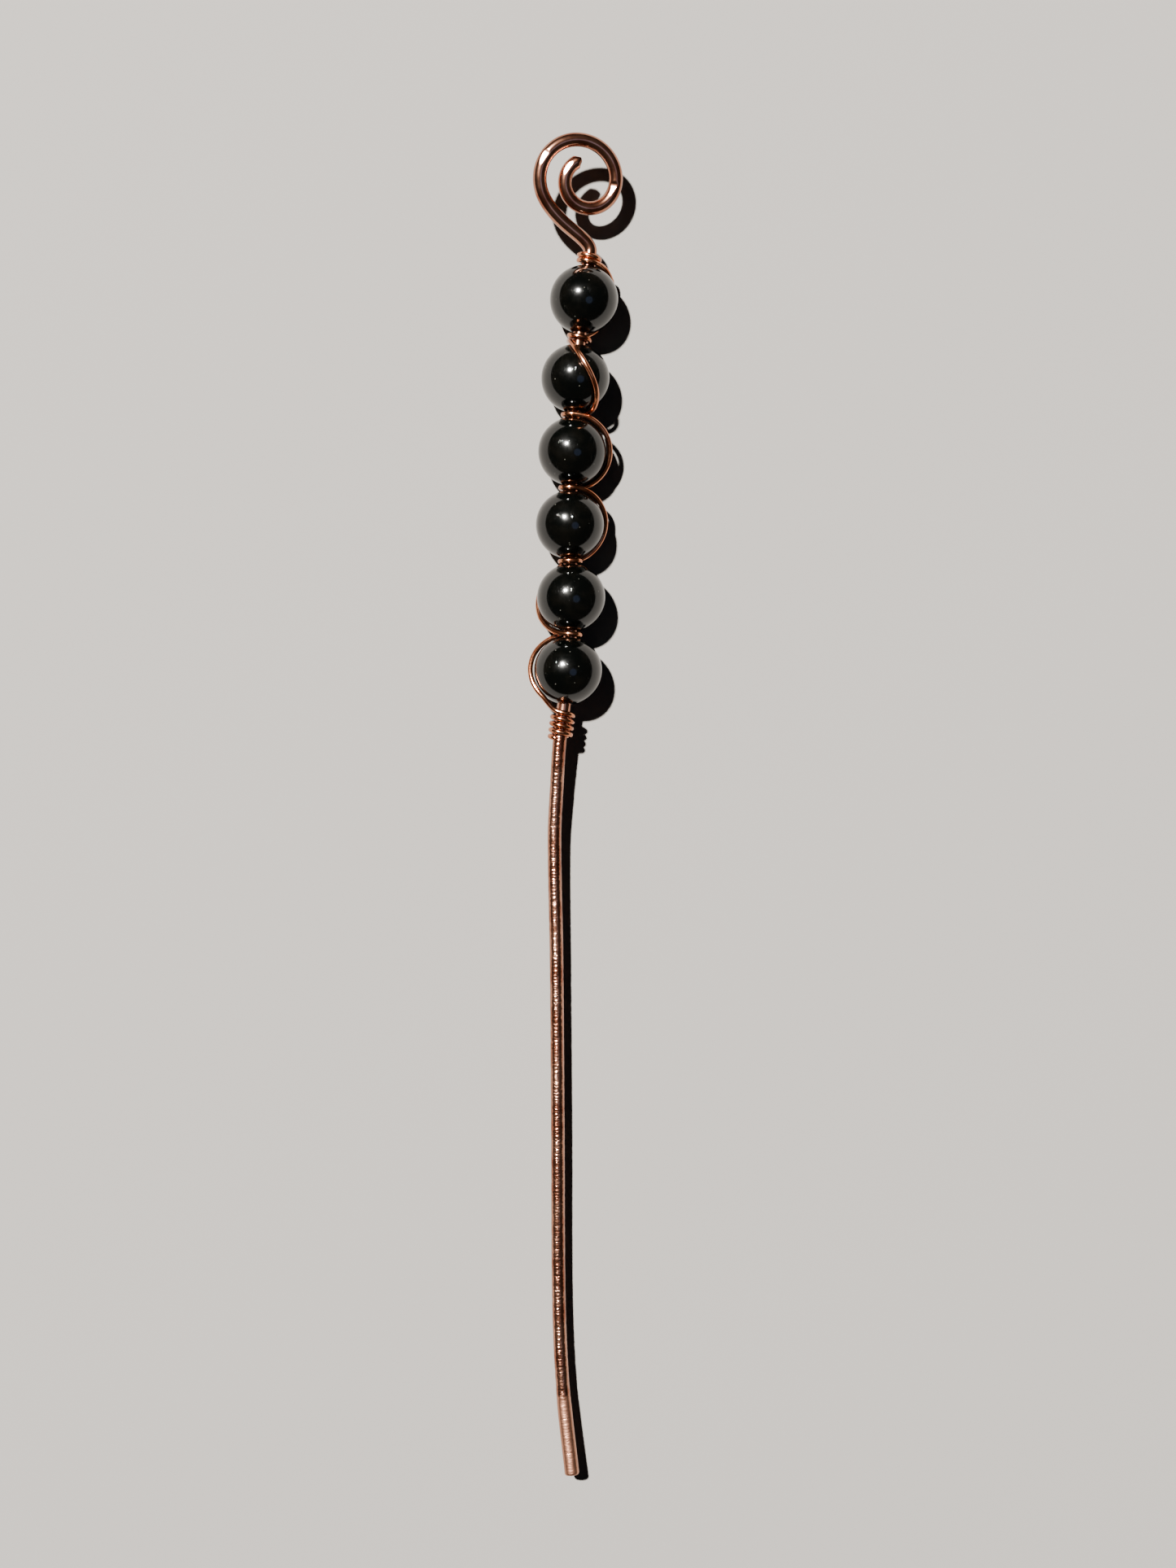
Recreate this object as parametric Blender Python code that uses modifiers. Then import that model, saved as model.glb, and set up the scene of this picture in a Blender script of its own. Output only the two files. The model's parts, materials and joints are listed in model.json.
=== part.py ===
"""Decorative hair pin: a thick copper stem with a scroll, six stone beads and a thin binding wire.

The pin lies on its beads, as it does on a table: its length runs along Y with the scroll at +Y,
+X is to the right and +Z is up. Its box is centred on the origin and stands on Z = 0.
Along the pin, a distance is measured from the foot of the neck down towards the tip. Round the
stem, an angle of 0 degrees is the +X side and 90 degrees is the top.
"""
import math

import bpy
from mathutils import Matrix, Vector

MM = 0.001

# Wires and beads
STEM_DIAMETER = 1.6 * MM
BINDING_DIAMETER = 0.6 * MM
BEAD_DIAMETER = 8.0 * MM

# Room between the pieces
BEAD_TO_STEM = 0.1 * MM
BINDING_TO_STEM = 0.06 * MM
BINDING_TO_BEAD = 0.05 * MM
TURN_TO_TURN = 0.03 * MM
LOWER_TURN_TO_TURN = 0.145 * MM
BEAD_PLAY = 0.05 * MM

# The binding wire: the side on which its strand passes the middle of each bead, and how far it
# turns on to either side of there at the bead's ends, first bead first
STRAND_SIDES = (-44, 66, 0, -20, -151, 175)
STRAND_SLANTS = (0, 20, 0, 0, 0, 0)
UPPER_COIL_TURNS = 1.6
LOWER_COIL_TURNS = 4.0
LOWER_COIL_DROP = 0.67 * MM       # from the ring place under the last bead to the first turn
LOWER_COIL_START = 110            # degrees round the stem
PEEL_ANGLE = -50                  # where the last strand leaves its bead, as a latitude

# The stem below the lower coil
SHANK_LENGTH = 84.7 * MM
TIP_LENGTH = 9.0 * MM             # planished a little wider than the rest
TIP_SWELL = 1.06
TIP_CHAMFER = 0.3 * MM

# The scroll, seen from above: its centre drifts and its radius shrinks as it turns
SCROLL_OUTER_RADIUS = 4.72 * MM
SCROLL_INNER_RADIUS = 2.41 * MM
SCROLL_START = 216.4              # degrees
SCROLL_TURN = -459                # degrees, clockwise from above
SCROLL_CENTRE = Vector((-1.3, 8.34, 1.65)) * MM   # from the foot of the neck
SCROLL_DRIFT = Vector((1.36, -0.39)) * MM
SCROLL_RISE = Vector((-0.21, 0.2))                # height gained for each unit along X and Y
NECK_START_PULL = 4.8 * MM
NECK_END_PULL = 10.7 * MM

# How far the stem wanders from straight: share of the stretch, sideways, and height
ROW_BENDS = ((0.0, 0.0), (0.1, -0.72), (0.262, -1.71), (0.414, -2.06), (0.565, -2.32),
             (0.707, -2.18), (0.858, -2.57), (1.0, -3.52))
SHANK_BENDS = ((0.06, -0.33, -0.5), (0.13, -0.6, -0.9), (0.29, -0.38, -1.35), (0.53, -0.22, -1.4),
               (0.76, -0.1, -1.5), (0.88, 0.35, -1.25), (1.0, 1.45, -0.7))

# How finely the shapes are divided
BEAD_SIDES = 24
BEAD_BANDS = 13                   # odd, so that a bead rests on a flat band
TURN_POINTS = 18
STRAND_POINTS = 16
SCROLL_POINTS = 48
NECK_POINTS = 11
BRIDGE_POINTS = 5
STEM_STEP = 2.4 * MM
MEASURE_STEP = 0.2 * MM
STEM_BEVEL = 4                    # twelve sides
BINDING_BEVEL = 2                 # eight sides
MERGE = 0.00001

FULL_TURN = 360
HALF_TURN = 180
QUARTER_TURN = 90

# Values that follow from those above
RING_RADIUS = (STEM_DIAMETER + BINDING_DIAMETER) / 2 + BINDING_TO_STEM
STRAND_RADIUS = (BEAD_DIAMETER + BINDING_DIAMETER) / 2 + BINDING_TO_BEAD
STRAND_LEAN = math.asin(RING_RADIUS / STRAND_RADIUS)
RING_OFFSET = STRAND_RADIUS * math.cos(STRAND_LEAN)   # from a bead's centre to the ring beside it
TURN_PITCH = BINDING_DIAMETER + TURN_TO_TURN
LOWER_COIL_PITCH = BINDING_DIAMETER + LOWER_TURN_TO_TURN
COIL_END_ROOM = BINDING_DIAMETER / 2
BEAD_BORE = STEM_DIAMETER + 2 * BEAD_TO_STEM

COPPER = (0.73, 0.33, 0.2, 1.0)
BRIGHT_COPPER = (0.78, 0.36, 0.21, 1.0)
BLACK_STONE = (0.012, 0.013, 0.013, 1.0)


def ring_turns():
    """Degrees that the binding wire turns round the stem between each two beads."""
    turns = []
    for number in range(len(STRAND_SIDES) - 1):
        leaving = STRAND_SIDES[number] - STRAND_SLANTS[number]
        arriving = STRAND_SIDES[number + 1] + STRAND_SLANTS[number + 1]
        turn = (leaving - arriving - HALF_TURN) % FULL_TURN
        turns.append(turn if turn >= HALF_TURN else turn + FULL_TURN)
    return turns


def bead_stations():
    """Distance of each bead's centre below the foot of the neck."""
    station = COIL_END_ROOM + UPPER_COIL_TURNS * TURN_PITCH + RING_OFFSET
    stations = [station]
    for turn in ring_turns():
        # a ring of more than one turn lies beside itself
        beside = TURN_PITCH * turn / FULL_TURN if turn > FULL_TURN else 0.0
        station += 2 * RING_OFFSET + BEAD_PLAY + beside
        stations.append(station)
    return stations


def lower_coil_station():
    return bead_stations()[-1] + RING_OFFSET + LOWER_COIL_DROP


def row_length():
    """From the foot of the neck to the bare shank."""
    return lower_coil_station() + LOWER_COIL_TURNS * LOWER_COIL_PITCH + COIL_END_ROOM


def shaft_bends():
    """Points that the straight part of the stem passes through, from the neck to the tip."""
    row = row_length()
    bends = [Vector((side * MM, -share * row, 0.0)) for share, side in ROW_BENDS]
    corner = bends[-1]
    for share, side, height in SHANK_BENDS:
        bends.append(corner + Vector((side * MM, -share * SHANK_LENGTH, height * MM)))
    return bends


def hermite(start, start_pull, end, end_pull, share):
    """Point of a cubic curve at a share of its way."""
    square, cube = share ** 2, share ** 3
    return (start * (2 * cube - 3 * square + 1) + start_pull * (cube - 2 * square + share)
            + end * (3 * square - 2 * cube) + end_pull * (cube - square))


def smooth_through(bends, step):
    """Points along a smooth curve through the bends, about a step apart."""
    slopes = [(bends[1] - bends[0]) / (bends[0].y - bends[1].y)]
    for before, after in zip(bends, bends[2:]):
        slopes.append((after - before) / (before.y - after.y))
    slopes.append((bends[-1] - bends[-2]) / (bends[-2].y - bends[-1].y))
    points = []
    for index in range(len(bends) - 1):
        start, end = bends[index], bends[index + 1]
        reach = start.y - end.y
        count = max(1, round(reach / step))
        for number in range(count):
            points.append(hermite(start, slopes[index] * reach, end, slopes[index + 1] * reach,
                                  number / count))
    points.append(bends[-1])
    return points


class StemAxis:
    """The centreline of the stem's straight part, measured from the foot of the neck."""

    def __init__(self):
        self.points = smooth_through(shaft_bends(), MEASURE_STEP)
        self.distances = [0.0]
        for before, after in zip(self.points, self.points[1:]):
            self.distances.append(self.distances[-1] + (after - before).length)

    def frame(self, distance):
        """Centre, and the directions to the right, up and towards the neck."""
        index = 0
        while index < len(self.points) - 2 and self.distances[index + 1] < distance:
            index += 1
        before, after = self.points[index], self.points[index + 1]
        part = (distance - self.distances[index]) / (self.distances[index + 1] - self.distances[index])
        neckward = (before - after).normalized()
        right = neckward.cross(Vector((0, 0, 1))).normalized()
        return before.lerp(after, part), right, right.cross(neckward), neckward

    def place(self, straight):
        """World point of one given beside a straight stem: right, up and distance."""
        centre, right, up, neckward = self.frame(straight.z)
        return centre + right * straight.x + up * straight.y


def beside_stem(radius, angle, distance):
    turn = math.radians(angle)
    return Vector((radius * math.cos(turn), radius * math.sin(turn), distance))


def coil(start_angle, turn, start, end):
    """Turns round the stem, going clockwise towards the tip."""
    count = max(2, round(TURN_POINTS * turn / FULL_TURN))
    points = []
    for number in range(count + 1):
        share = number / count
        angle = start_angle - turn * share
        points.append(beside_stem(RING_RADIUS, angle, start + (end - start) * share))
    return points


def strand(station, side, slant, last_latitude):
    """A taut strand over one bead, from the ring above it to the ring below."""
    points = []
    for number in range(STRAND_POINTS + 1):
        latitude = QUARTER_TURN + (last_latitude - QUARTER_TURN) * number / STRAND_POINTS
        turn = math.radians(latitude)
        passing = side + slant * math.sin(turn)
        middle = beside_stem(1, passing, 0)
        lean = beside_stem(math.sin(STRAND_LEAN), passing + QUARTER_TURN, -math.cos(STRAND_LEAN))
        point = (middle * math.cos(turn) + lean * math.sin(turn)) * STRAND_RADIUS
        points.append(point + Vector((0, 0, station)))
    return points


def bridge(start_points, end_points):
    """The stretch that carries the wire from its last bead to the lower coil."""
    start, end = start_points[-1], end_points[0]
    reach = (end - start).length
    leaving = (start - start_points[-2]).normalized() * reach
    arriving = (end_points[1] - end).normalized() * reach
    return [hermite(start, leaving, end, arriving, number / BRIDGE_POINTS)
            for number in range(1, BRIDGE_POINTS)]


def binding_path():
    """The binding wire's centreline beside a straight stem, from the neck to the shank."""
    stations = bead_stations()
    turns = ring_turns()
    first_turn = UPPER_COIL_TURNS * FULL_TURN
    first_angle = STRAND_SIDES[0] + STRAND_SLANTS[0] + QUARTER_TURN
    path = coil(first_angle + first_turn, first_turn, COIL_END_ROOM, stations[0] - RING_OFFSET)
    for number, turn in enumerate(turns):
        station, side, slant = stations[number], STRAND_SIDES[number], STRAND_SLANTS[number]
        path += strand(station, side, slant, -QUARTER_TURN)[1:]
        path += coil(side - slant - QUARTER_TURN, turn, station + RING_OFFSET,
                     stations[number + 1] - RING_OFFSET)[1:]
    start = lower_coil_station()
    lower_coil = coil(LOWER_COIL_START, LOWER_COIL_TURNS * FULL_TURN, start,
                      start + LOWER_COIL_TURNS * LOWER_COIL_PITCH)
    last_strand = strand(stations[-1], STRAND_SIDES[-1], STRAND_SLANTS[-1], PEEL_ANGLE)
    return path + last_strand[1:] + bridge(last_strand, lower_coil) + lower_coil


def neck_and_scroll(axis):
    """The stem's upper end, from the cut end of the scroll down to the foot of the neck."""
    foot, _, _, neckward = axis.frame(0.0)
    centre = foot + SCROLL_CENTRE
    scroll = []
    for number in range(SCROLL_POINTS + 1):
        share = number / SCROLL_POINTS
        angle = math.radians(SCROLL_START + SCROLL_TURN * share)
        radius = SCROLL_OUTER_RADIUS + (SCROLL_INNER_RADIUS - SCROLL_OUTER_RADIUS) * share
        flat = SCROLL_DRIFT * share + Vector((math.cos(angle), math.sin(angle))) * radius
        scroll.append(centre + Vector((flat.x, flat.y, flat.dot(SCROLL_RISE))))
    leaving = (scroll[1] - scroll[0]).normalized() * NECK_END_PULL
    neck = [hermite(foot, neckward * NECK_START_PULL, scroll[0], leaving, number / NECK_POINTS)
            for number in range(1, NECK_POINTS)]
    return list(reversed(neck + scroll))


def stem_path(axis):
    """Points and radius factors of the whole stem, from the scroll's cut end to the tip."""
    points = neck_and_scroll(axis) + smooth_through(shaft_bends(), STEM_STEP)
    tip = points.pop()
    downward = (tip - points[-1]).normalized()
    points += [tip - downward * TIP_CHAMFER, tip]
    factors = []
    for point in points:
        factors.append(TIP_SWELL if (point - tip).length < TIP_LENGTH else 1.0)
    factors[-1] = TIP_SWELL - 2 * TIP_CHAMFER / STEM_DIAMETER
    return points, factors


def clear_scene():
    for item in list(bpy.data.objects):
        bpy.data.objects.remove(item, do_unlink=True)


def make_material(name, colour, roughness, metallic):
    material = bpy.data.materials.new(name)
    material.use_nodes = True
    shader = material.node_tree.nodes["Principled BSDF"]
    shader.inputs["Base Color"].default_value = colour
    shader.inputs["Roughness"].default_value = roughness
    shader.inputs["Metallic"].default_value = metallic
    material.diffuse_color = colour
    return material


def make_wire(name, points, diameter, bevel, material, factors=None):
    """A round wire with flat cut ends."""
    curve = bpy.data.curves.new(name, "CURVE")
    curve.dimensions = "3D"
    curve.bevel_depth = diameter / 2
    curve.bevel_resolution = bevel
    curve.use_fill_caps = True
    spline = curve.splines.new("POLY")
    spline.points.add(len(points) - 1)
    for number, point in enumerate(points):
        spline.points[number].co = (*point, 1.0)
        spline.points[number].radius = factors[number] if factors else 1.0
    spline.use_smooth = True
    curve.materials.append(material)
    return bpy.data.objects.new(name, curve)


def bead_profile():
    """One side of a bored ball in the XZ plane, running down the outside and up the bore."""
    radius, bore = BEAD_DIAMETER / 2, BEAD_BORE / 2
    mouth = math.asin(bore / radius)
    points = []
    for number in range(BEAD_BANDS + 1):
        angle = mouth + (math.pi - 2 * mouth) * number / BEAD_BANDS
        points.append((radius * math.sin(angle), 0.0, radius * math.cos(angle)))
    return points


def make_bead(name, axis, station, material):
    """A bored ball that turns on the stem: its origin is on the stem, its Z along it."""
    points = bead_profile()
    mesh = bpy.data.meshes.new(name)
    edges = [(number, (number + 1) % len(points)) for number in range(len(points))]
    mesh.from_pydata(points, edges, [])
    mesh.materials.append(material)
    bead = bpy.data.objects.new(name, mesh)
    screw = bead.modifiers.new("turned", "SCREW")
    screw.steps = BEAD_SIDES
    screw.render_steps = BEAD_SIDES
    screw.use_merge_vertices = True
    screw.merge_threshold = MERGE
    screw.use_smooth_shade = True
    centre, right, up, neckward = axis.frame(station)
    turned = Matrix((right, up, -neckward)).transposed().to_4x4()
    flat_down = Matrix.Rotation(math.pi / BEAD_SIDES, 4, "Z")
    bead.matrix_world = Matrix.Translation(centre) @ turned @ flat_down
    return bead


def evaluated_points(item):
    graph = bpy.context.evaluated_depsgraph_get()
    solid = item.evaluated_get(graph)
    mesh = solid.to_mesh()
    points = [solid.matrix_world @ vertex.co for vertex in mesh.vertices]
    solid.to_mesh_clear()
    return points


def stand_on_ground(place, parts):
    """Moves the whole pin so that its box is centred on the origin and stands on Z = 0."""
    bpy.context.view_layer.update()
    points = [point for item in parts for point in evaluated_points(item)]
    low = Vector([min(values) for values in zip(*points)])
    high = Vector([max(values) for values in zip(*points)])
    place.location = Vector((-(low.x + high.x) / 2, -(low.y + high.y) / 2, -low.z))


def main():
    clear_scene()
    collection = bpy.data.collections.new("hair_pin")
    bpy.context.scene.collection.children.link(collection)
    copper = make_material("stem_copper", COPPER, 0.22, 1.0)
    bright_copper = make_material("binding_copper", BRIGHT_COPPER, 0.18, 1.0)
    stone = make_material("black_stone", BLACK_STONE, 0.05, 0.0)

    axis = StemAxis()
    points, factors = stem_path(axis)
    binding = [axis.place(point) for point in binding_path()]
    parts = [make_wire("stem", points, STEM_DIAMETER, STEM_BEVEL, copper, factors),
             make_wire("binding_wire", binding, BINDING_DIAMETER, BINDING_BEVEL, bright_copper)]
    for number, station in enumerate(bead_stations(), start=1):
        parts.append(make_bead(f"bead_{number}", axis, station, stone))

    place = bpy.data.objects.new("pin_place", None)
    collection.objects.link(place)
    for item in parts:
        collection.objects.link(item)
        item.parent = place
    stand_on_ground(place, parts)


main()
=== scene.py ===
# Decorative hair pin: a copper stem with a scroll, six polished stone beads and the thin wire
# that binds them on. The pin lies along Y on its beads, the scroll at +Y, Z is up, all in metres.
import json
import math

import bpy
from mathutils import Matrix, Vector


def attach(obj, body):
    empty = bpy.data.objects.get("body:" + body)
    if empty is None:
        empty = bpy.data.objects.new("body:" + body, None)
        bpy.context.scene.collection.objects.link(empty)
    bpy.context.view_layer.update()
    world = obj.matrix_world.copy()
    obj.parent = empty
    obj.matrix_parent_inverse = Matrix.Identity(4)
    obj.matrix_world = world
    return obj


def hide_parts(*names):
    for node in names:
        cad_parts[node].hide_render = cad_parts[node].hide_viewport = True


mm = 0.001
fullTurn, halfTurn, quarterTurn = 360, 180, 90

print("hair pin: loading the frame")
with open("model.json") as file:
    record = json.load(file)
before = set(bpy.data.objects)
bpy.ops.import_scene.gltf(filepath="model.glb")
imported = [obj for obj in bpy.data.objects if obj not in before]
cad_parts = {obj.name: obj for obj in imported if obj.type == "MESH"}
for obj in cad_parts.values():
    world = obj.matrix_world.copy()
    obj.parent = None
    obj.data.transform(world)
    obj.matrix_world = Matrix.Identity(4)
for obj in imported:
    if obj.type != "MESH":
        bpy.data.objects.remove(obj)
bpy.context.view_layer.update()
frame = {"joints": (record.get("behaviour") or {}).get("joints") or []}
beadJoints = {joint["child"]: joint for joint in frame["joints"]}


def addNode(tree, kind, inputs=None, **settings):
    node = tree.nodes.new(kind)
    for name, value in settings.items():
        setattr(node, name, value)
    for name, value in (inputs or {}).items():
        socket = node.inputs[name]
        if isinstance(value, bpy.types.NodeSocket):
            tree.links.new(value, socket)
        else:
            socket.default_value = value
    return node


def calculate(tree, operation, first, second=0.0, third=0.0):
    return addNode(tree, "ShaderNodeMath", {0: first, 1: second, 2: third},
                   operation=operation).outputs[0]


def vectorCalculate(tree, operation, first, second=(0.0, 0.0, 0.0)):
    node = addNode(tree, "ShaderNodeVectorMath", {0: first, 1: second}, operation=operation)
    return node.outputs["Value" if operation in ("DOT_PRODUCT", "LENGTH") else "Vector"]


def stretch(tree, vector, factor):
    node = addNode(tree, "ShaderNodeVectorMath", {0: vector, "Scale": factor}, operation="SCALE")
    return node.outputs["Vector"]


def remap(tree, value, low, high, newLow=0.0, newHigh=1.0, smooth=True):
    return addNode(tree, "ShaderNodeMapRange",
                   {"Value": value, "From Min": low, "From Max": high,
                    "To Min": newLow, "To Max": newHigh},
                   interpolation_type="SMOOTHSTEP" if smooth else "LINEAR").outputs["Result"]


def noise(tree, vector, size, detail=2.0, roughness=0.5):      # size is one blotch's width
    return addNode(tree, "ShaderNodeTexNoise",
                   {"Vector": vector, "Scale": 1 / size, "Detail": detail,
                    "Roughness": roughness}).outputs["Fac"]


def mixColour(tree, share, first, second):
    node = addNode(tree, "ShaderNodeMix", data_type="RGBA")
    for name, value in (("Factor_Float", share), ("A_Color", first), ("B_Color", second)):
        socket = next(item for item in node.inputs if item.identifier == name)
        if isinstance(value, bpy.types.NodeSocket):
            tree.links.new(value, socket)
        else:
            socket.default_value = value if isinstance(value, float) else (*value, 1.0)
    return next(item for item in node.outputs if item.identifier == "Result_Color")


def newFinish(name):
    material = bpy.data.materials.new(name)
    material.use_nodes = True
    tree = material.node_tree
    return material, tree, tree.nodes["Principled BSDF"]


def addBump(tree, shader, height, depth):
    bump = addNode(tree, "ShaderNodeBump", {"Height": height, "Strength": 1.0, "Distance": depth})
    tree.links.new(bump.outputs["Normal"], shader.inputs["Normal"])
    return bump


def startTree(name, source, result, sizes):      # a Geometry Nodes tree with named inputs
    tree = bpy.data.node_groups.new(name, "GeometryNodeTree")
    tree.interface.new_socket(source, in_out="INPUT", socket_type="NodeSocketGeometry")
    for size, kind, value in sizes:
        socket = tree.interface.new_socket(size, in_out="INPUT", socket_type="NodeSocket" + kind)
        if value is not None:
            socket.default_value = value
    tree.interface.new_socket(result, in_out="OUTPUT", socket_type="NodeSocketGeometry")
    return tree, addNode(tree, "NodeGroupInput").outputs


def endTree(tree, result, geometry, material):
    whole = addNode(tree, "GeometryNodeRealizeInstances", {"Geometry": geometry})
    finished = addNode(tree, "GeometryNodeSetMaterial",
                       {"Geometry": whole.outputs["Geometry"], "Material": material})
    addNode(tree, "NodeGroupOutput", {result: finished.outputs["Geometry"]})


pinRun = {
    "lineStep": 0.2 * mm,
    "stemDiameter": 1.6 * mm,
    "bindingDiameter": 0.6 * mm,
    "beadDiameter": 8.0 * mm,
    "bindingToStem": 0.06 * mm,
    "bindingToBead": 0.05 * mm,
    "turnToTurn": 0.03 * mm,
    "beadPlay": 0.05 * mm,
    "strandSides": (-44, 66, 0, -20, -151, 175),     # where each strand passes its bead, degrees
    "strandSlants": (0, 20, 0, 0, 0, 0),
    "upperCoilTurns": 1.6,
    "lowerCoilTurns": 4.0,
    "lowerTurnToTurn": 0.145 * mm,
    "lowerCoilDrop": 0.67 * mm,
    "lowerCoilStart": 110,
    "peelAngle": -50,
    "shankLength": 84.7 * mm,
    "scrollOuter": 4.72 * mm,
    "scrollInner": 2.41 * mm,
    "scrollStart": 216.4,
    "scrollTurn": -459,
    "scrollCentre": Vector((-1.3, 8.34, 1.65)) * mm,
    "scrollDrift": Vector((1.36, -0.39)) * mm,
    "scrollRise": Vector((-0.21, 0.2)),
    "neckStartPull": 4.8 * mm,
    "neckEndPull": 10.7 * mm,
    "rowBends": ((0.0, 0.0), (0.1, -0.72), (0.262, -1.71), (0.414, -2.06), (0.565, -2.32),
                 (0.707, -2.18), (0.858, -2.57), (1.0, -3.52)),
    "shankBends": ((0.06, -0.33, -0.5), (0.13, -0.6, -0.9), (0.29, -0.38, -1.35),
                   (0.53, -0.22, -1.4), (0.76, -0.1, -1.5), (0.88, 0.35, -1.25),
                   (1.0, 1.45, -0.7)),
}

ringRadius = (pinRun["stemDiameter"] + pinRun["bindingDiameter"]) / 2 + pinRun["bindingToStem"]
strandRadius = (pinRun["beadDiameter"] + pinRun["bindingDiameter"]) / 2 + pinRun["bindingToBead"]
strandLean = math.asin(ringRadius / strandRadius)
ringOffset = strandRadius * math.cos(strandLean)
turnPitch = pinRun["bindingDiameter"] + pinRun["turnToTurn"]
lowerCoilPitch = pinRun["bindingDiameter"] + pinRun["lowerTurnToTurn"]
coilEndRoom = pinRun["bindingDiameter"] / 2


def ringTurns():
    sides, slants = pinRun["strandSides"], pinRun["strandSlants"]
    turns = []
    for number in range(len(sides) - 1):
        leaving = sides[number] - slants[number]
        arriving = sides[number + 1] + slants[number + 1]
        turn = (leaving - arriving - halfTurn) % fullTurn
        turns.append(turn if turn >= halfTurn else turn + fullTurn)
    return turns


def beadStations():
    station = coilEndRoom + pinRun["upperCoilTurns"] * turnPitch + ringOffset
    stations = [station]
    for turn in ringTurns():
        beside = turnPitch * turn / fullTurn if turn > fullTurn else 0.0
        station += 2 * ringOffset + pinRun["beadPlay"] + beside
        stations.append(station)
    return stations


def lowerCoilStation():
    return beadStations()[-1] + ringOffset + pinRun["lowerCoilDrop"]


def rowLength():
    return lowerCoilStation() + pinRun["lowerCoilTurns"] * lowerCoilPitch + coilEndRoom


def shaftBends():
    row = rowLength()
    bends = [Vector((side * mm, -share * row, 0.0)) for share, side in pinRun["rowBends"]]
    corner = bends[-1]
    for share, side, height in pinRun["shankBends"]:
        bends.append(corner + Vector((side * mm, -share * pinRun["shankLength"], height * mm)))
    return bends


def easeBetween(start, startPull, end, endPull, share):
    square, cube = share ** 2, share ** 3
    return (start * (2 * cube - 3 * square + 1) + startPull * (cube - 2 * square + share)
            + end * (3 * square - 2 * cube) + endPull * (cube - square))


def smoothThrough(bends, step):
    slopes = [(bends[1] - bends[0]) / (bends[0].y - bends[1].y)]
    for before, after in zip(bends, bends[2:]):
        slopes.append((after - before) / (before.y - after.y))
    slopes.append((bends[-1] - bends[-2]) / (bends[-2].y - bends[-1].y))
    points = []
    for index in range(len(bends) - 1):
        start, end = bends[index], bends[index + 1]
        reach = start.y - end.y
        count = max(1, round(reach / step))
        for number in range(count):
            points.append(easeBetween(start, slopes[index] * reach,
                                      end, slopes[index + 1] * reach, number / count))
    points.append(bends[-1])
    return points


class StemLine:
    # the middle line of the stem's straight part, measured from the foot of the neck

    def __init__(self):
        self.points = smoothThrough(shaftBends(), pinRun["lineStep"])
        self.distances = [0.0]
        for before, after in zip(self.points, self.points[1:]):
            self.distances.append(self.distances[-1] + (after - before).length)

    def at(self, distance):
        low, high = 0, len(self.points) - 2
        while low < high:
            middle = (low + high + 1) // 2
            if self.distances[middle] < distance:
                low = middle
            else:
                high = middle - 1
        before, after = self.points[low], self.points[low + 1]
        part = (distance - self.distances[low]) / (self.distances[low + 1] - self.distances[low])
        neckward = (before - after).normalized()
        right = neckward.cross(Vector((0, 0, 1))).normalized()
        return before.lerp(after, part), right, right.cross(neckward), neckward

    def place(self, beside):
        centre, right, up, _ = self.at(beside.z)
        return centre + right * beside.x + up * beside.y


stemLine = StemLine()
firstBead = Vector(beadJoints["bead_1"]["pos_m"])
pinPlace = firstBead - stemLine.at(beadStations()[0])[0]


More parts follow.
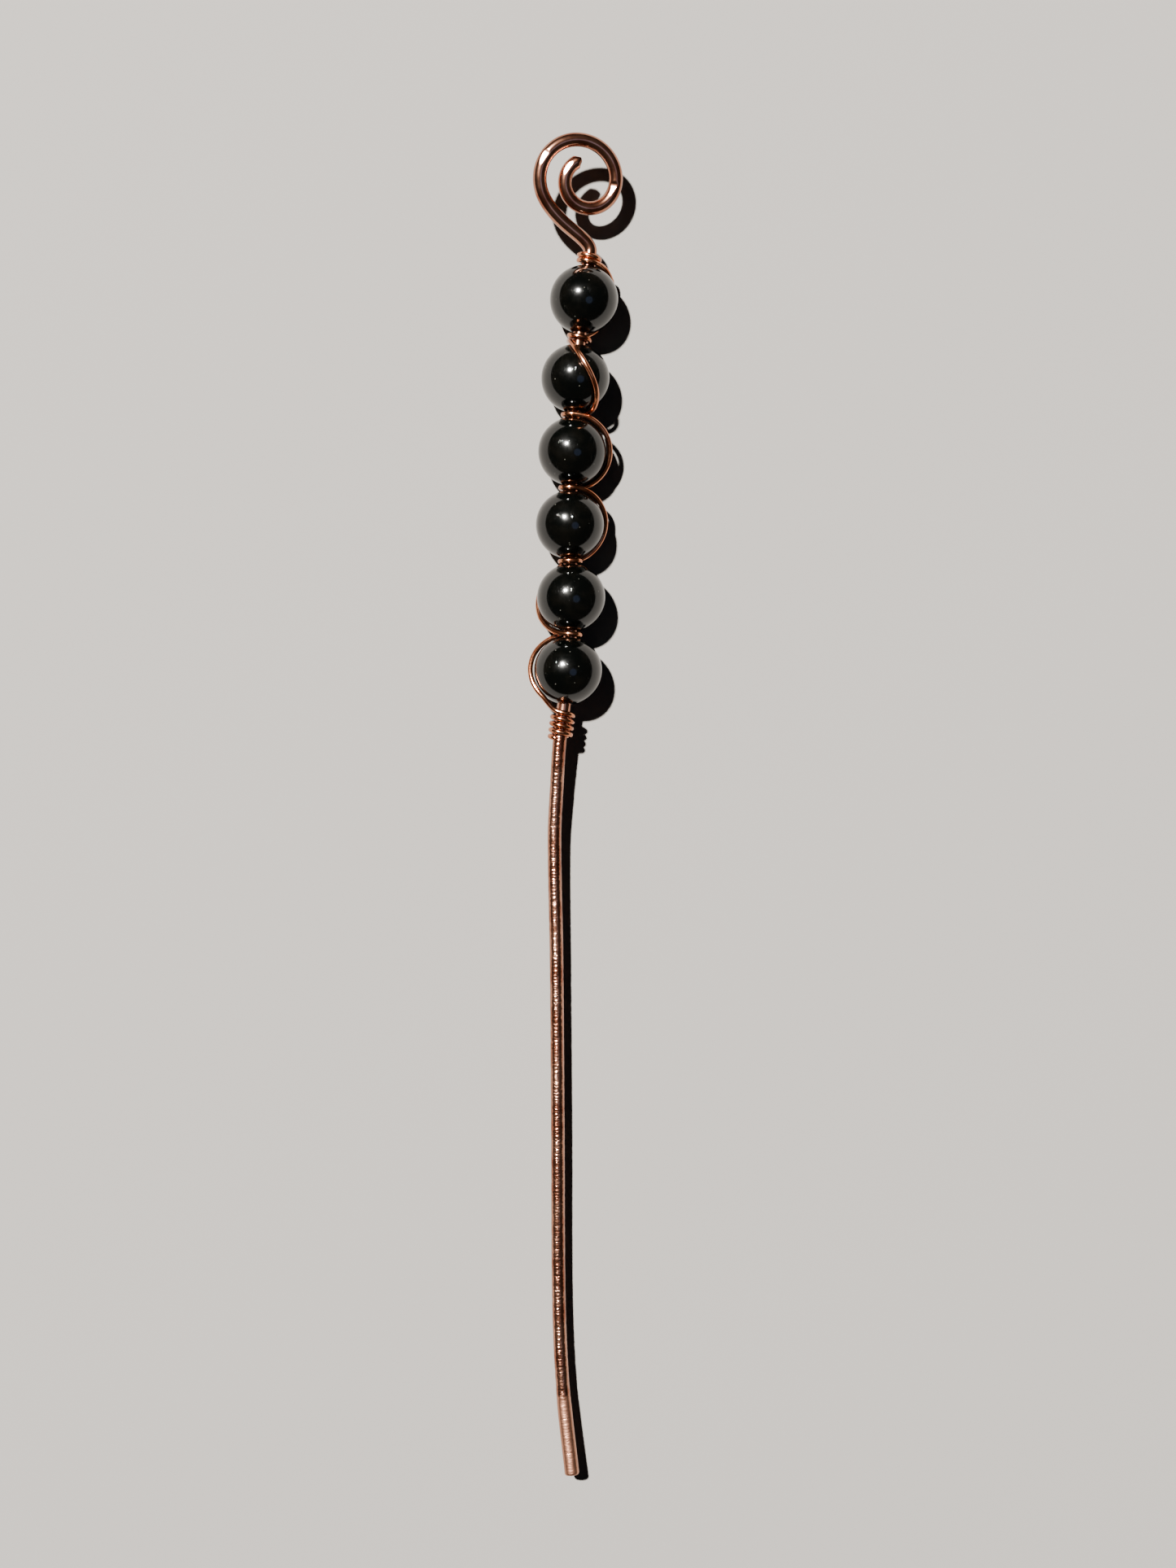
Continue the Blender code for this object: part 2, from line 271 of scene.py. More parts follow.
def makeWireTree():
    tree, given = startTree("sweptWire", "Run", "Wire",
                            (("Wire Radius", "Float", 0.8 * mm), ("Sides", "Int", 24),
                             ("Dent Depth", "Float", 0.01 * mm), ("Dent Size", "Float", 1.0 * mm),
                             ("Pattern Seed", "Float", 1.0),
                             ("Flat Way", "Vector", (0.0, 0.0, 1.0)), ("Metal", "Material", None)))

    def named(name, kind="FLOAT"):
        return addNode(tree, "GeometryNodeInputNamedAttribute", {"Name": name},
                       data_type=kind).outputs["Attribute"]

    run = addNode(tree, "GeometryNodeMeshToCurve", {"Mesh": given["Run"]}).outputs["Curve"]
    keep = tree.nodes.new("GeometryNodeCaptureAttribute")
    for name, kind in (("middle", "VECTOR"), ("heading", "VECTOR"), ("along", "FLOAT")):
        keep.capture_items.new(kind, name)
    tree.links.new(run, keep.inputs["Geometry"])
    tree.links.new(addNode(tree, "GeometryNodeInputPosition").outputs[0], keep.inputs["middle"])
    tree.links.new(addNode(tree, "GeometryNodeInputTangent").outputs[0], keep.inputs["heading"])
    tree.links.new(addNode(tree, "GeometryNodeSplineParameter").outputs["Length"],
                   keep.inputs["along"])

    rim = addNode(tree, "GeometryNodeCurvePrimitiveCircle",
                  {"Resolution": given["Sides"], "Radius": given["Wire Radius"]}).outputs["Curve"]
    keepRim = tree.nodes.new("GeometryNodeCaptureAttribute")
    keepRim.capture_items.new("VECTOR", "rimPoint")
    tree.links.new(rim, keepRim.inputs["Geometry"])
    tree.links.new(addNode(tree, "GeometryNodeInputPosition").outputs[0],
                   keepRim.inputs["rimPoint"])

    swept = addNode(tree, "GeometryNodeCurveToMesh",
                    {"Curve": keep.outputs["Geometry"],
                     "Profile Curve": keepRim.outputs["Geometry"],
                     "Scale": named("girth"), "Fill Caps": True}).outputs["Mesh"]

    # the wire's own straightened coordinates, so that a finish can follow it
    rimPart = addNode(tree, "ShaderNodeSeparateXYZ", {0: keepRim.outputs["rimPoint"]}).outputs
    straightened = addNode(tree, "ShaderNodeCombineXYZ",
                           {"X": rimPart["X"], "Y": rimPart["Y"],
                            "Z": keep.outputs["along"]}).outputs[0]
    marked = addNode(tree, "GeometryNodeStoreNamedAttribute",
                     {"Geometry": swept, "Name": "wirePoint", "Value": straightened},
                     data_type="FLOAT_VECTOR", domain="POINT").outputs["Geometry"]

    # a section can be spread sideways, as where pliers or a hammer have flattened it
    position = addNode(tree, "GeometryNodeInputPosition").outputs[0]
    offset = vectorCalculate(tree, "SUBTRACT", position, keep.outputs["middle"])
    across = vectorCalculate(tree, "NORMALIZE", vectorCalculate(
        tree, "CROSS_PRODUCT", keep.outputs["heading"], (0.0, 0.0, 1.0)))
    sideways = stretch(tree, across, vectorCalculate(tree, "DOT_PRODUCT", offset, across))
    upright = vectorCalculate(tree, "SUBTRACT", offset, sideways)
    shaped = vectorCalculate(tree, "ADD", stretch(tree, sideways, named("spread")),
                             stretch(tree, upright, named("rise")))
    # a flat is cut square to one way, to a share of the radius
    height = vectorCalculate(tree, "DOT_PRODUCT", shaped, given["Flat Way"])
    level = calculate(tree, "MULTIPLY", given["Wire Radius"],
                      calculate(tree, "SUBTRACT", 1.0, named("flat")))
    over = calculate(tree, "MAXIMUM", calculate(tree, "SUBTRACT", height, level), 0.0)
    isFlat = calculate(tree, "GREATER_THAN", named("flat"), 0.0001)
    over = calculate(tree, "MULTIPLY", over, isFlat)
    shaped = vectorCalculate(tree, "SUBTRACT", shaped, stretch(tree, given["Flat Way"], over))
    placed = vectorCalculate(tree, "ADD", keep.outputs["middle"], shaped)
    formed = addNode(tree, "GeometryNodeSetPosition",
                     {"Geometry": marked, "Position": placed}).outputs["Geometry"]

    # shallow dents, only inwards
    seeded = vectorCalculate(tree, "ADD", named("wirePoint", "FLOAT_VECTOR"),
                             addNode(tree, "ShaderNodeCombineXYZ",
                                     {"Z": given["Pattern Seed"]}).outputs[0])
    scaled = stretch(tree, seeded, calculate(tree, "DIVIDE", 1.0, given["Dent Size"]))
    blotch = addNode(tree, "ShaderNodeTexNoise",
                     {"Vector": scaled, "Scale": 1.0, "Detail": 1.5}).outputs["Fac"]
    inward = calculate(tree, "MULTIPLY", remap(tree, blotch, 0.45, 0.75),
                       calculate(tree, "MULTIPLY", given["Dent Depth"], named("worked")))
    normal = addNode(tree, "GeometryNodeInputNormal").outputs["Normal"]
    dented = addNode(tree, "GeometryNodeSetPosition",
                     {"Geometry": formed,
                      "Offset": stretch(tree, normal, calculate(tree, "MULTIPLY", inward, -1.0))})
    endTree(tree, "Wire", dented.outputs["Geometry"], given["Metal"])
    return tree


def growMesh(name, base, tree, settings, creaseAngle=40):
    # the tree runs once on the base mesh, and its result is kept as a plain mesh
    source = bpy.data.objects.new(name + "Base", base)
    bpy.context.scene.collection.objects.link(source)
    grower = source.modifiers.new("grow", "NODES")
    grower.node_group = tree
    for item in tree.interface.items_tree:
        if item.item_type == "SOCKET" and item.in_out == "INPUT" and item.name in settings:
            grower[item.identifier] = settings[item.name]
    graph = bpy.context.evaluated_depsgraph_get()
    mesh = bpy.data.meshes.new_from_object(source.evaluated_get(graph))
    source.modifiers.remove(grower)
    bpy.data.objects.remove(source)
    mesh.name = name
    mesh.shade_smooth()
    mesh.set_sharp_from_angle(angle=math.radians(creaseAngle))
    return mesh


def addPiece(name, mesh, material):
    piece = bpy.data.objects.new(name, mesh)
    bpy.context.scene.collection.objects.link(piece)
    if not mesh.materials:
        mesh.materials.append(material)
    return piece


def runMesh(name, points, shape):      # girth, spread, rise, worked and flat share at each point
    mesh = bpy.data.meshes.new(name)
    mesh.from_pydata(points, [(number, number + 1) for number in range(len(points) - 1)], [])
    for key in ("girth", "spread", "rise", "worked", "flat"):
        layer = mesh.attributes.new(key, "FLOAT", "POINT")
        layer.data.foreach_set("value", [values[key] for values in shape])
    return mesh


def lengthsAlong(points):
    lengths = [0.0]
    for before, after in zip(points, points[1:]):
        lengths.append(lengths[-1] + (after - before).length)
    return lengths


def ramp(value, low, high):
    share = min(1.0, max(0.0, (value - low) / (high - low)))
    return share * share * (3 - 2 * share)


def roundedEnd(distance, rounding, radius):      # share of the full radius near a rounded end
    if distance >= rounding:
        return 1.0
    inset = rounding - math.sqrt(rounding ** 2 - (rounding - distance) ** 2)
    return 1 - inset / radius


stemLook = {
    "bright": (0.47, 0.22, 0.14),
    "warm": (0.3, 0.1, 0.055),
    "stained": (0.16, 0.045, 0.025),
    "stainSize": 2.4 * mm,
    "stainRange": (0.42, 0.7),
    "pitStain": 0.75,
    "grainSize": 0.24 * mm,
    "grainHeight": 1.25,
    "pitSize": 0.32 * mm,
    "pitHeight": 0.1,
    "swellSize": 0.7 * mm,
    "swellHeight": 0.3,
    "lineSize": 0.16 * mm,
    "lineHeight": 0.03,
    "nickSize": 0.22 * mm,
    "nickHeight": -0.3,
    "bumpDepth": 0.06 * mm,
    "scrollWorked": 0.03,       # how much of the shank's marks the scroll and the tip have
    "tipWorked": 0.5,
    "roughness": 0.12,
    "swellRoughness": 0.05,
    "shankRoughness": 0.03,
    "tipRoughness": 0.14,
}


def stemFinish(shankStart, tipStart):
    material, tree, shader = newFinish("workedCopper")
    shader.inputs["Metallic"].default_value = 1.0
    point = addNode(tree, "ShaderNodeAttribute", attribute_name="wirePoint").outputs["Vector"]
    along = addNode(tree, "ShaderNodeSeparateXYZ", {0: point}).outputs["Z"]
    # the shank is hammered, the scroll and the tip are smoother
    shank = calculate(tree, "MULTIPLY", remap(tree, along, shankStart - 2 * mm, shankStart),
                      remap(tree, along, tipStart - 0.2 * mm, tipStart + 0.4 * mm, 1.0, 0.0))
    tip = remap(tree, along, tipStart - 0.5 * mm, tipStart + 0.1 * mm)
    # the marks lie across the wire, so that they break up the light along it
    grain = noise(tree, vectorCalculate(tree, "MULTIPLY", point, (0.35, 0.35, 1.0)),
                  stemLook["grainSize"], 2.0)
    swell = noise(tree, point, stemLook["swellSize"], 2.0)
    cells = addNode(tree, "ShaderNodeTexVoronoi",
                    {"Vector": point, "Scale": 1 / stemLook["pitSize"]}).outputs["Distance"]
    pits = remap(tree, cells, 0.0, 0.34)
    lines = noise(tree, vectorCalculate(tree, "MULTIPLY", point, (1.0, 1.0, 0.03)),
                  stemLook["lineSize"], 1.0)
    nicks = remap(tree, noise(tree, vectorCalculate(tree, "MULTIPLY", point, (0.12, 0.12, 1.0)),
                              stemLook["nickSize"], 1.0), 0.66, 0.74)

    height = calculate(tree, "MULTIPLY_ADD", grain, stemLook["grainHeight"],
                       calculate(tree, "MULTIPLY", pits, stemLook["pitHeight"]))
    height = calculate(tree, "MULTIPLY_ADD", swell, stemLook["swellHeight"], height)
    height = calculate(tree, "MULTIPLY_ADD", nicks, stemLook["nickHeight"], height)
    worked = calculate(tree, "MULTIPLY_ADD", tip, stemLook["tipWorked"],
                       remap(tree, shank, 0.0, 1.0, stemLook["scrollWorked"], 1.0, False))
    rough = calculate(tree, "MULTIPLY", height, worked)
    surface = calculate(tree, "MULTIPLY_ADD", lines, stemLook["lineHeight"], rough)
    addBump(tree, shader, surface, stemLook["bumpDepth"])

    stain = remap(tree, noise(tree, point, stemLook["stainSize"], 3.0), *stemLook["stainRange"])
    stain = calculate(tree, "MULTIPLY", stain, calculate(tree, "SUBTRACT", 1.0, tip))
    colour = mixColour(tree, stain, stemLook["bright"], stemLook["warm"])
    hollow = calculate(tree, "MULTIPLY", calculate(tree, "SUBTRACT", 1.0, pits), shank)
    colour = mixColour(tree, calculate(tree, "MULTIPLY", hollow, stemLook["pitStain"]), colour,
                       stemLook["stained"])
    tree.links.new(colour, shader.inputs["Base Color"])
    dull = calculate(tree, "MULTIPLY_ADD", swell, stemLook["swellRoughness"],
                     stemLook["roughness"])
    dull = calculate(tree, "MULTIPLY_ADD", shank, stemLook["shankRoughness"], dull)
    dull = calculate(tree, "MULTIPLY_ADD", tip, stemLook["tipRoughness"], dull)
    tree.links.new(dull, shader.inputs["Roughness"])
    return material


stemShape = {
    "radius": 0.797 * mm,
    "sides": 36,
    "step": 0.12 * mm,
    "tipLength": 9.0 * mm,
    "tipSwell": 1.06,
    "swellReach": 2.0 * mm,
    "tipFlattening": 0.4,
    "tipRounding": 0.32 * mm,
    "tipRings": 8,
    "pinchLength": 0.55 * mm,       # the cutter's bite at the scroll's end
    "pinchedTo": 0.4,
    "pinchSquash": 0.12,
    "dentDepth": 0.025 * mm,
    "dentSize": 0.7 * mm,
    "leastDented": 0.12,
    "patternSeed": 3.0 * mm,
    "scrollPoints": 260,
    "neckPoints": 90,
    "flatPlaces": ((0.124, 0.034), (0.516, 0.04), (0.908, 0.05)),      # place, reach
    "flatDepth": 0.08,              # share of the radius
    "flatFade": 0.3,
    "flatWay": Vector((-0.155, 0.06, 0.986)),
}


def stemRun():
    foot, _, _, neckward = stemLine.at(0.0)
    centre = foot + pinRun["scrollCentre"]
    scroll = []
    scrollPoints = stemShape["scrollPoints"]
    for number in range(scrollPoints + 1):
        share = number / scrollPoints
        angle = math.radians(pinRun["scrollStart"] + pinRun["scrollTurn"] * share)
        radius = pinRun["scrollOuter"] + (pinRun["scrollInner"] - pinRun["scrollOuter"]) * share
        flat = pinRun["scrollDrift"] * share + Vector((math.cos(angle), math.sin(angle))) * radius
        scroll.append(centre + Vector((flat.x, flat.y, flat.dot(pinRun["scrollRise"]))))
    leaving = (scroll[1] - scroll[0]).normalized() * pinRun["neckEndPull"]
    neckPoints = stemShape["neckPoints"]
    neck = [easeBetween(foot, neckward * pinRun["neckStartPull"], scroll[0], leaving,
                        number / neckPoints) for number in range(1, neckPoints)]
    points = list(reversed(neck + scroll))
    neckLength = lengthsAlong(points + [foot])[-1]
    points += smoothThrough(shaftBends(), stemShape["step"])
    end = points.pop()
    downward = (end - points[-1]).normalized()
    while (end - points[-1]).length < stemShape["tipRounding"]:
        points.pop()
    rings = stemShape["tipRings"]
    for number in range(rings + 1):        # close rings round the rounded edge
        back = stemShape["tipRounding"] * math.cos(math.radians(quarterTurn * number / rings))
        points.append(end - downward * back)
    return [point + pinPlace for point in points], neckLength


def flatAt(points, index):      # how deep the pliers' flats are at a point of the stem's run
    way, depth = stemShape["flatWay"].normalized(), 0.0
    share = 1 - index / stemShape["scrollPoints"]
    for place, reach in stemShape["flatPlaces"]:
        centre = points[round((1 - place) * stemShape["scrollPoints"])]
        lean = (points[index] - centre).dot(way) / stemShape["radius"]
        cut = min(max(0.0, stemShape["flatDepth"] + lean), 2 * stemShape["flatDepth"])
        depth = max(depth, cut * ramp(1 - abs(share - place) / reach, 0.0, stemShape["flatFade"]))
    return depth


def makeStem(wireTree):
    points, neckLength = stemRun()
    lengths = lengthsAlong(points)
    total = lengths[-1]
    shankStart = neckLength + rowLength()
    tipStart = total - stemShape["tipLength"]
    shape = []
    for index, length in enumerate(lengths):
        bite = 1 - min(1.0, length / stemShape["pinchLength"])
        swell = (stemShape["tipSwell"] - 1) * ramp(length, tipStart - stemShape["swellReach"],
                                                   tipStart + stemShape["swellReach"])
        girth = roundedEnd(total - length, stemShape["tipRounding"], stemShape["radius"])
        dented = (ramp(length, shankStart - mm, shankStart + mm)
                  * (1 - ramp(length, tipStart, tipStart + mm)))
        shape.append({"girth": girth, "flat": flatAt(points, index),
                      "spread": (1 + swell) * (1 - (1 - stemShape["pinchedTo"]) * bite),
                      "rise": ((1 - stemShape["tipFlattening"] * swell)
                               * (1 - stemShape["pinchSquash"] * bite ** 2)),
                      "worked": (stemShape["leastDented"]
                                 + (1 - stemShape["leastDented"]) * dented)})
    finish = stemFinish(shankStart, tipStart)
    mesh = growMesh("stemWire", runMesh("stemRun", points, shape), wireTree,
                    {"Wire Radius": stemShape["radius"], "Sides": stemShape["sides"],
                     "Dent Depth": stemShape["dentDepth"], "Dent Size": stemShape["dentSize"],
                     "Pattern Seed": stemShape["patternSeed"],
                     "Flat Way": stemShape["flatWay"].normalized(), "Metal": finish})
    piece = addPiece("stemWire", mesh, finish)
    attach(piece, "pin_frame")
    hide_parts("stem")


bindingLook = {
    "bright": (0.6, 0.24, 0.125),
    "warm": (0.4, 0.12, 0.05),
    "stainSize": 1.6 * mm,
    "stainRange": (0.42, 0.66),
    "lineSize": 0.1 * mm,
    "lineHeight": 0.2,
    "scuffSize": 0.25 * mm,
    "scuffHeight": 0.7,
    "bumpDepth": 0.006 * mm,
    "roughness": 0.1,
    "scuffRoughness": 0.1,
}


def bindingFinish():
    material, tree, shader = newFinish("brightCopper")
    shader.inputs["Metallic"].default_value = 1.0
    point = addNode(tree, "ShaderNodeAttribute", attribute_name="wirePoint").outputs["Vector"]
    lines = noise(tree, vectorCalculate(tree, "MULTIPLY", point, (1.0, 1.0, 0.04)),
                  bindingLook["lineSize"], 1.0)
    scuffs = noise(tree, point, bindingLook["scuffSize"], 3.0, 0.6)
    surface = calculate(tree, "MULTIPLY_ADD", lines, bindingLook["lineHeight"],
                        calculate(tree, "MULTIPLY", scuffs, bindingLook["scuffHeight"]))
    addBump(tree, shader, surface, bindingLook["bumpDepth"])
    stain = remap(tree, noise(tree, point, bindingLook["stainSize"], 3.0),
                  *bindingLook["stainRange"])
    colour = mixColour(tree, stain, bindingLook["bright"], bindingLook["warm"])
    tree.links.new(colour, shader.inputs["Base Color"])
    dull = calculate(tree, "MULTIPLY_ADD", scuffs, bindingLook["scuffRoughness"],
                     bindingLook["roughness"])
    tree.links.new(dull, shader.inputs["Roughness"])
    return material


bindingShape = {
    "radius": 0.298 * mm,
    "sides": 20,
    "turnPoints": 84,
    "strandPoints": 150,
    "bridgePoints": 24,
    "dentDepth": 0.008 * mm,
    "dentSize": 0.5 * mm,
    "pinchLength": 0.25 * mm,
    "pinchNarrowing": 0.6,
    "pinchSquash": 0.25,
    "patternSeed": 71.0 * mm,
}


def besideStem(radius, angle, distance):
    turn = math.radians(angle)
    return Vector((radius * math.cos(turn), radius * math.sin(turn), distance))


def coil(startAngle, turn, start, end):
    count = max(2, round(bindingShape["turnPoints"] * turn / fullTurn))
    return [besideStem(ringRadius, startAngle - turn * number / count,
                       start + (end - start) * number / count) for number in range(count + 1)]


def strand(station, side, slant, lastLatitude):
    points = []
    count = bindingShape["strandPoints"]
    for number in range(count + 1):
        latitude = quarterTurn + (lastLatitude - quarterTurn) * number / count
        turn = math.radians(latitude)
        turned = side + slant * math.sin(turn)
        middle = besideStem(1, turned, 0)
        lean = besideStem(math.sin(strandLean), turned + quarterTurn, -math.cos(strandLean))
        point = (middle * math.cos(turn) + lean * math.sin(turn)) * strandRadius
        points.append(point + Vector((0, 0, station)))
    return points


def bridge(startPoints, endPoints):
    start, end = startPoints[-1], endPoints[0]
    reach = (end - start).length
    leaving = (start - startPoints[-2]).normalized() * reach
    arriving = (endPoints[1] - end).normalized() * reach
    count = bindingShape["bridgePoints"]
    return [easeBetween(start, leaving, end, arriving, number / count)
            for number in range(1, count)]


def bindingRun():
    stations, turns = beadStations(), ringTurns()
    sides, slants = pinRun["strandSides"], pinRun["strandSlants"]
    firstTurn = pinRun["upperCoilTurns"] * fullTurn
    firstAngle = sides[0] + slants[0] + quarterTurn
    run = coil(firstAngle + firstTurn, firstTurn, coilEndRoom, stations[0] - ringOffset)
    for number, turn in enumerate(turns):
        station, side, slant = stations[number], sides[number], slants[number]
        run += strand(station, side, slant, -quarterTurn)[1:]
        run += coil(side - slant - quarterTurn, turn, station + ringOffset,
                    stations[number + 1] - ringOffset)[1:]
    start = lowerCoilStation()
    lowerCoil = coil(pinRun["lowerCoilStart"], pinRun["lowerCoilTurns"] * fullTurn, start,
                     start + pinRun["lowerCoilTurns"] * lowerCoilPitch)
    last = strand(stations[-1], sides[-1], slants[-1], pinRun["peelAngle"])
    run += last[1:] + bridge(last, lowerCoil) + lowerCoil
    return [stemLine.place(point) + pinPlace for point in run]


def makeBinding(wireTree, finish):
    points = bindingRun()
    lengths = lengthsAlong(points)
    total = lengths[-1]
    shape = []
    for length in lengths:
        fromEnd = min(length, total - length)
        bite = 1 - min(1.0, fromEnd / bindingShape["pinchLength"])
        shape.append({"girth": 1.0, "flat": 0.0, "worked": 1.0 - bite,
                      "spread": 1 - bindingShape["pinchNarrowing"] * bite,
                      "rise": 1 - bindingShape["pinchSquash"] * bite})
    mesh = growMesh("bindingWire", runMesh("bindingRun", points, shape), wireTree,
                    {"Wire Radius": bindingShape["radius"], "Sides": bindingShape["sides"],
                     "Dent Depth": bindingShape["dentDepth"],
                     "Dent Size": bindingShape["dentSize"],
                     "Pattern Seed": bindingShape["patternSeed"], "Metal": finish})
    piece = addPiece("bindingWire", mesh, finish)
    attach(piece, "pin_frame")
    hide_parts("binding_wire")


beadShape = {
    "radius": 3.943 * mm,           # the round ball inside the frame's flat-sided one
    "boreRadius": 0.9 * mm,
    "mouthRounding": 0.12 * mm,
    "mouthPoints": 6,
    "sides": 96,
    "arcPoints": 60,
    "borePoints": 6,
    "waviness": 0.006 * mm,
    "waveSize": 2.6 * mm,
    "seedStep": 0.02,
}


def beadSection():      # half of a bored ball's section: distance from the middle line, height
    radius, bore, rounding = (beadShape[key] for key in ("radius", "boreRadius", "mouthRounding"))
    # the rounding touches the ball inside it and the bore's wall beside it
    across = bore + rounding
    height = math.sqrt((radius - rounding) ** 2 - across ** 2)
    touch = math.atan2(across, height)
    section = []
    for number in range(beadShape["arcPoints"] + 1):
        angle = touch + (math.pi - 2 * touch) * number / beadShape["arcPoints"]
        section.append((radius * math.sin(angle), radius * math.cos(angle)))
    steps, bend = beadShape["mouthPoints"], math.pi / 2 + touch
    for number in range(1, steps + 1):     # lower mouth
        angle = math.pi - touch + bend * number / steps
        section.append((across + rounding * math.sin(angle), -height + rounding * math.cos(angle)))
    for number in range(1, beadShape["borePoints"]):
        section.append((bore, -height + 2 * height * number / beadShape["borePoints"]))
    for number in range(steps):            # upper mouth
        angle = -math.pi / 2 + bend * number / steps
        section.append((across + rounding * math.sin(angle), height + rounding * math.cos(angle)))
    return section


def makeBeadTree():
    tree, given = startTree("turnedBead", "Section", "Bead",
                            (("Sides", "Int", 64), ("Path Radius", "Float", 1.0 * mm),
                             ("Waviness", "Float", 0.01 * mm), ("Wave Size", "Float", 2.0 * mm),
                             ("Pattern Seed", "Float", 1.0), ("Stone", "Material", None)))
    section = addNode(tree, "GeometryNodeMeshToCurve", {"Mesh": given["Section"]}).outputs["Curve"]
    path = addNode(tree, "GeometryNodeCurvePrimitiveCircle",
                   {"Resolution": given["Sides"], "Radius": given["Path Radius"]}).outputs["Curve"]
    turned = addNode(tree, "GeometryNodeCurveToMesh",
                     {"Curve": path, "Profile Curve": section}).outputs["Mesh"]
    position = addNode(tree, "GeometryNodeInputPosition").outputs[0]
    seeded = vectorCalculate(tree, "ADD", position, addNode(
        tree, "ShaderNodeCombineXYZ", {"X": given["Pattern Seed"]}).outputs[0])
    scaled = stretch(tree, seeded, calculate(tree, "DIVIDE", 1.0, given["Wave Size"]))
    wave = addNode(tree, "ShaderNodeTexNoise",
                   {"Vector": scaled, "Scale": 1.0, "Detail": 1.0}).outputs["Fac"]
    inward = calculate(tree, "MULTIPLY", wave,
                       calculate(tree, "MULTIPLY", given["Waviness"], -1.0))
    outward = vectorCalculate(tree, "NORMALIZE", position)
    waved = addNode(tree, "GeometryNodeSetPosition",
                    {"Geometry": turned, "Offset": stretch(tree, outward, inward)})
    endTree(tree, "Bead", waved.outputs["Geometry"], given["Stone"])
    return tree


stoneLook = {
    "black": (0.0001, 0.00016, 0.00013),
    "brown": (0.0004, 0.00036, 0.00025),
    "speck": (0.03, 0.03, 0.025),
    "cloudSize": 2.2 * mm,
    "speckSpacing": 0.55 * mm,
    "poreSpacing": 0.3 * mm,
    "scratches": (((0.4, 0.9, 0.2), 0.035 * mm), ((1.3, 0.2, 0.8), 0.03 * mm)),  # turn, width
    "scratchHeight": 0.25,
    "bumpDepth": 0.006 * mm,
    "hazeSize": 1.1 * mm,
    "roughness": (0.09, 0.13),
}


def stoneFinish():
    material, tree, shader = newFinish("blackStone")
    shader.inputs["IOR"].default_value = 1.5
    place = addNode(tree, "ShaderNodeTexCoord").outputs["Object"]
    cloud = remap(tree, noise(tree, place, stoneLook["cloudSize"], 4.0, 0.6), 0.4, 0.7)
    colour = mixColour(tree, cloud, stoneLook["black"], stoneLook["brown"])

    def spots(spacing, channel, near, far, rare, sure):      # small spots in a few of the cells
        cells = addNode(tree, "ShaderNodeTexVoronoi", {"Vector": place, "Scale": 1 / spacing})
        chance = addNode(tree, "ShaderNodeSeparateColor", {0: cells.outputs["Color"]})
        return calculate(tree, "MULTIPLY",
                         remap(tree, cells.outputs["Distance"], near, far, 1.0, 0.0),
                         remap(tree, chance.outputs[channel], rare, sure))

    speck = spots(stoneLook["speckSpacing"], 0, 0.06, 0.13, 0.72, 0.76)
    colour = mixColour(tree, speck, colour, stoneLook["speck"])
    tree.links.new(colour, shader.inputs["Base Color"])
    # a few hair scratches in two directions
    scratches = None
    for turn, width in stoneLook["scratches"]:
        turnedPlace = addNode(tree, "ShaderNodeMapping", {"Vector": place, "Rotation": turn,
                                                          "Scale": (1.0, 0.03, 0.03)})
        mark = remap(tree, noise(tree, turnedPlace.outputs[0], width, 1.0), 0.71, 0.75)
        scratches = mark if scratches is None else calculate(tree, "ADD", scratches, mark)
    pore = spots(stoneLook["poreSpacing"], 1, 0.05, 0.16, 0.8, 0.85)
    depth = calculate(tree, "ADD", calculate(tree, "MULTIPLY", scratches,
                                             stoneLook["scratchHeight"]), pore)
    addBump(tree, shader, depth, stoneLook["bumpDepth"]).invert = True
    haze = noise(tree, place, stoneLook["hazeSize"], 3.0)
    dull = remap(tree, haze, 0.35, 0.7, *stoneLook["roughness"])
    tree.links.new(dull, shader.inputs["Roughness"])
    return material


def makeBeads(finish):
    tree = makeBeadTree()
    pathRadius = beadShape["boreRadius"]
    section = beadSection()
    for number, (body, joint) in enumerate(sorted(beadJoints.items())):
        base = bpy.data.meshes.new("beadSection")
        count = len(section)
        base.from_pydata([(across - pathRadius, height, 0.0)
                          for across, height in reversed(section)],
                         [(item, (item + 1) % count) for item in range(count)], [])
        mesh = growMesh("stoneBead" + str(number + 1), base, tree,
                        {"Sides": beadShape["sides"], "Path Radius": pathRadius,
                         "Waviness": beadShape["waviness"], "Wave Size": beadShape["waveSize"],
                         "Pattern Seed": beadShape["seedStep"] * (number + 1),
                         "Stone": finish})
        along = Vector(joint["axis"]).normalized()
        turn = along.to_track_quat("Z", "Y").to_matrix().to_4x4()
        mesh.transform(Matrix.Translation(Vector(joint["pos_m"])) @ turn)
        piece = addPiece("stoneBead" + str(number + 1), mesh, finish)
        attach(piece, body)
        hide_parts(body)


stageLook = {
    "floorColour": (0.074, 0.07, 0.066),
    "floorSize": 3.0,
    "floorRoughness": 0.9,
    "floorGloss": 0.2,
    "aim": Vector((0.0, 0.0, 0.003)),
    "keyAngles": (130.3, 62.2),      # round from +X, and above the floor
    "keyDistance": 2.4,
    "keySize": 0.1,
    "keyPower": 1000.0,
    "keyColour": (1.0, 0.97, 0.92),
    "worldColour": (0.68, 0.62, 0.56),
    "worldStrength": 0.07,
    "fillPlace": Vector((0.15, -0.043, 0.46)),
    "fillSize": 0.2,
    "fillPower": 0.06,
    "fillColour": (0.4, 0.55, 1.0),
    "cameraPlace": (1.459 * mm, 2.769 * mm, 270 * mm),       # straight down, image up along +Y
    "cameraLens": 52.96,
    "cameraSensor": 36.0,
    "cameraNear": 0.01,
}


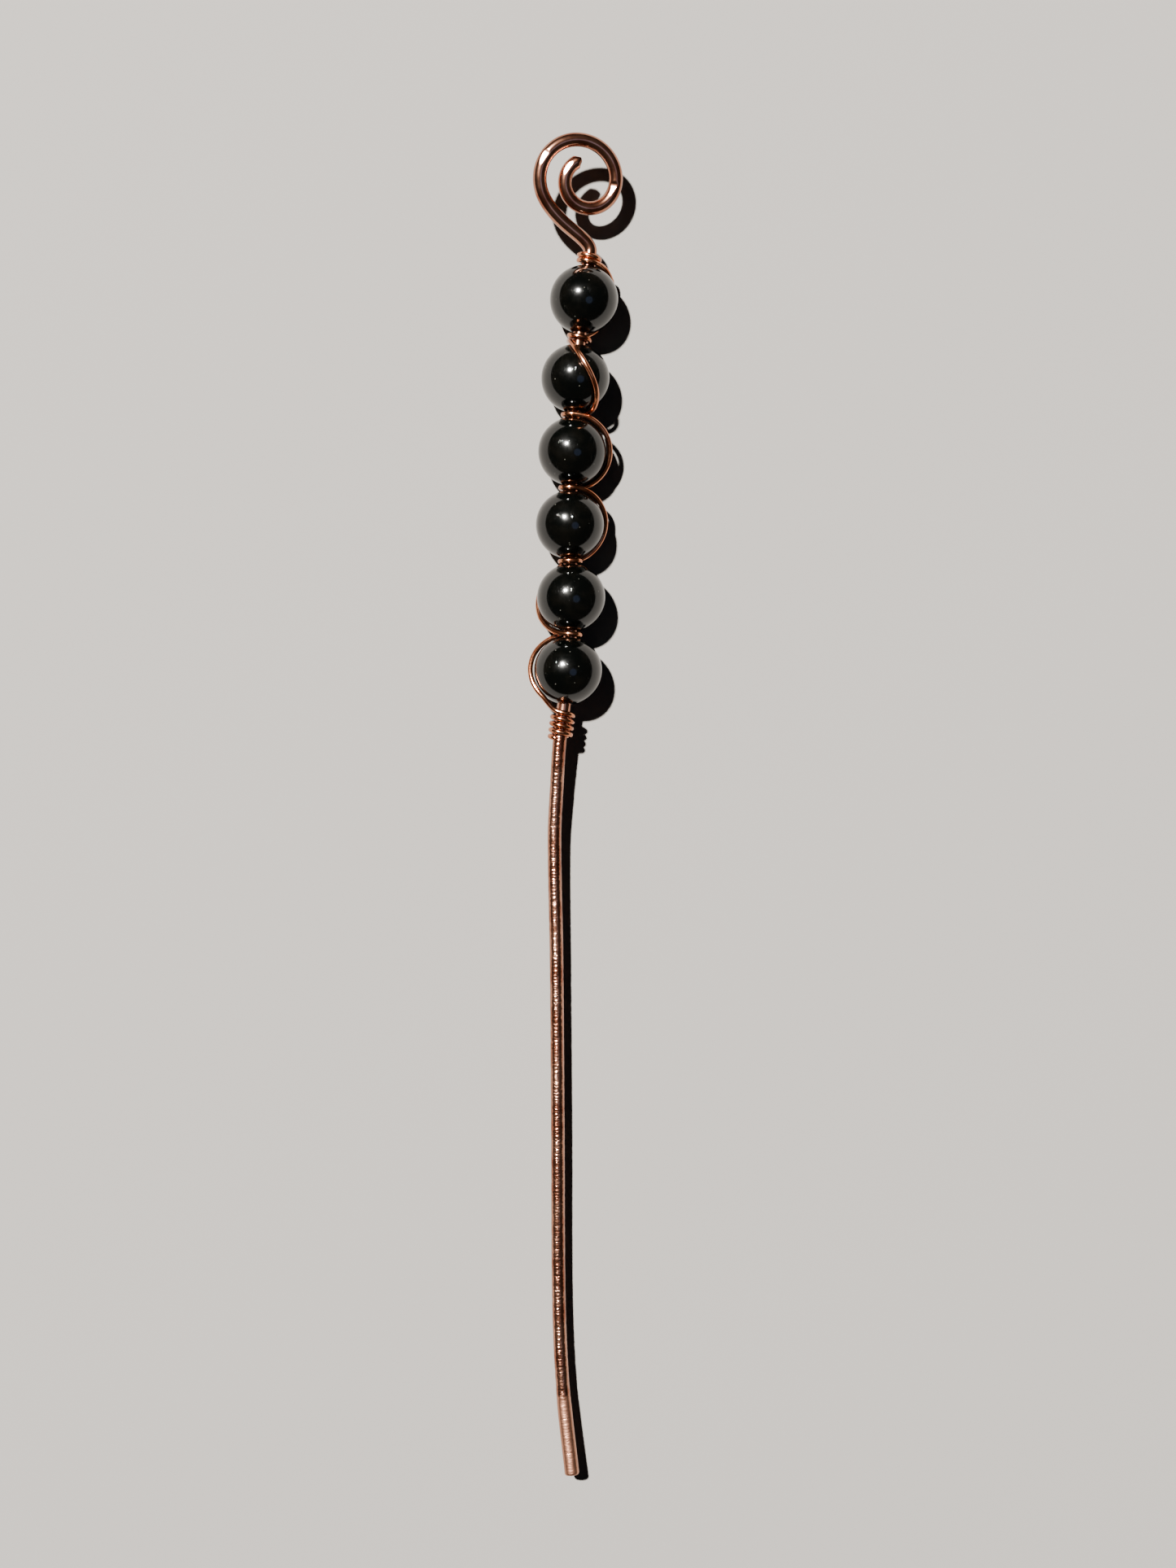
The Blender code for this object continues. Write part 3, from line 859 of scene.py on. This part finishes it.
def makeFloor():
    half = stageLook["floorSize"] / 2
    mesh = bpy.data.meshes.new("paleFloor")
    mesh.from_pydata([(-half, -half, 0), (half, -half, 0), (half, half, 0), (-half, half, 0)],
                     [], [(0, 1, 2, 3)])
    material, _, shader = newFinish("paleFloor")
    shader.inputs["Base Color"].default_value = (*stageLook["floorColour"], 1.0)
    shader.inputs["Roughness"].default_value = stageLook["floorRoughness"]
    shader.inputs["Specular IOR Level"].default_value = stageLook["floorGloss"]
    mesh.materials.append(material)
    floor = bpy.data.objects.new("paleFloor", mesh)
    bpy.context.scene.collection.objects.link(floor)


def addLamp(name, position, size, power, colour):
    data = bpy.data.lights.new(name, "AREA")
    data.shape = "DISK"
    data.size = size
    data.energy = power
    data.color = colour
    lamp = bpy.data.objects.new(name, data)
    bpy.context.scene.collection.objects.link(lamp)
    lamp.location = position
    lamp.rotation_mode = "QUATERNION"
    lamp.rotation_quaternion = (stageLook["aim"] - position).to_track_quat("-Z", "Y")


def makeStage():
    makeFloor()
    around, above = (math.radians(angle) for angle in stageLook["keyAngles"])
    direction = Vector((math.cos(around) * math.cos(above), math.sin(around) * math.cos(above),
                        math.sin(above)))
    addLamp("keyLamp", stageLook["aim"] + direction * stageLook["keyDistance"],
            stageLook["keySize"], stageLook["keyPower"], stageLook["keyColour"])
    addLamp("fillLamp", stageLook["fillPlace"], stageLook["fillSize"],
            stageLook["fillPower"], stageLook["fillColour"])
    world = bpy.data.worlds.new("softRoom")
    world.use_nodes = True
    back = world.node_tree.nodes["Background"]
    back.inputs["Color"].default_value = (*stageLook["worldColour"], 1.0)
    back.inputs["Strength"].default_value = stageLook["worldStrength"]
    bpy.context.scene.world = world
    camera = bpy.data.objects.new("pinCamera", bpy.data.cameras.new("pinCamera"))
    bpy.context.scene.collection.objects.link(camera)
    camera.data.sensor_width = stageLook["cameraSensor"]
    camera.data.lens = stageLook["cameraLens"]
    camera.data.clip_start = stageLook["cameraNear"]
    camera.location = stageLook["cameraPlace"]
    bpy.context.scene.camera = camera


print("hair pin: wires")
wireTree = makeWireTree()
makeStem(wireTree)
makeBinding(wireTree, bindingFinish())
print("hair pin: beads")
makeBeads(stoneFinish())
print("hair pin: stage")
makeStage()

print("hair pin: done")
